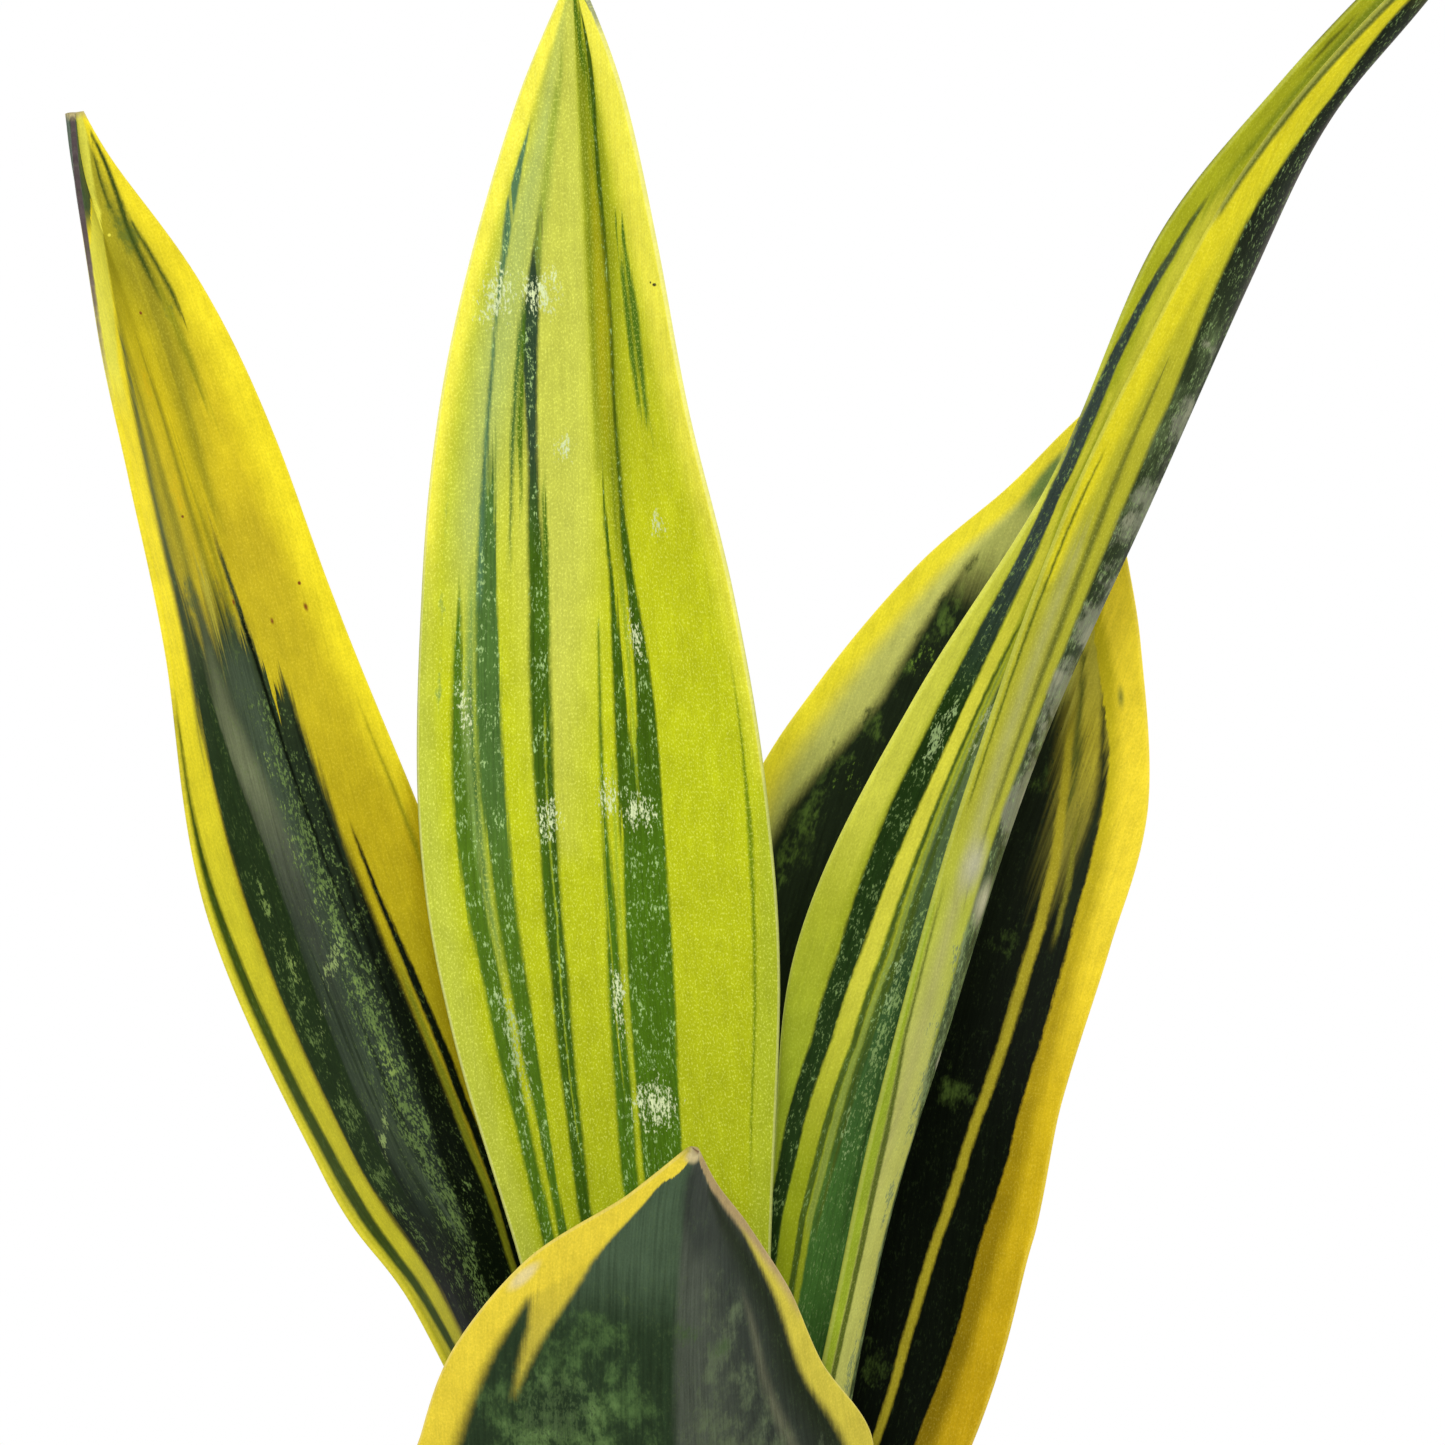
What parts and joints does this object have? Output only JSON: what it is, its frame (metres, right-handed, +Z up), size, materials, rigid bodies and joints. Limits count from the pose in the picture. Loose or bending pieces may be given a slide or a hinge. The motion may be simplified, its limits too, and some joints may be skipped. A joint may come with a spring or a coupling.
{
  "type": "potted snake plant",
  "caption": "Golden-variegated snake plant with broad upright sword leaves growing from soil in a plain tapered clay pot.",
  "frame": {"origin": "centre of the pot's flat base, on the surface that the pot stands on", "axes": "+Z up along the pot's axis, -Y to the front of the plant, +X to the right as seen from the front"},
  "size_m": [0.2316, 0.1298, 0.4085],
  "materials": {
    "dark_leaf": "satin",
    "lime_leaf": "satin",
    "striped_leaf": "satin",
    "rhizome": "matte",
    "soil": "matte",
    "clay": "matte"
  },
  "bodies": {
    "root": {"leaf_left": "dark_leaf", "leaf_centre": "lime_leaf", "leaf_right": "striped_leaf", "leaf_back": "dark_leaf", "leaf_front": "dark_leaf", "rhizome": "rhizome", "soil": "soil", "pot": "clay"}
  },
  "joints": []
}
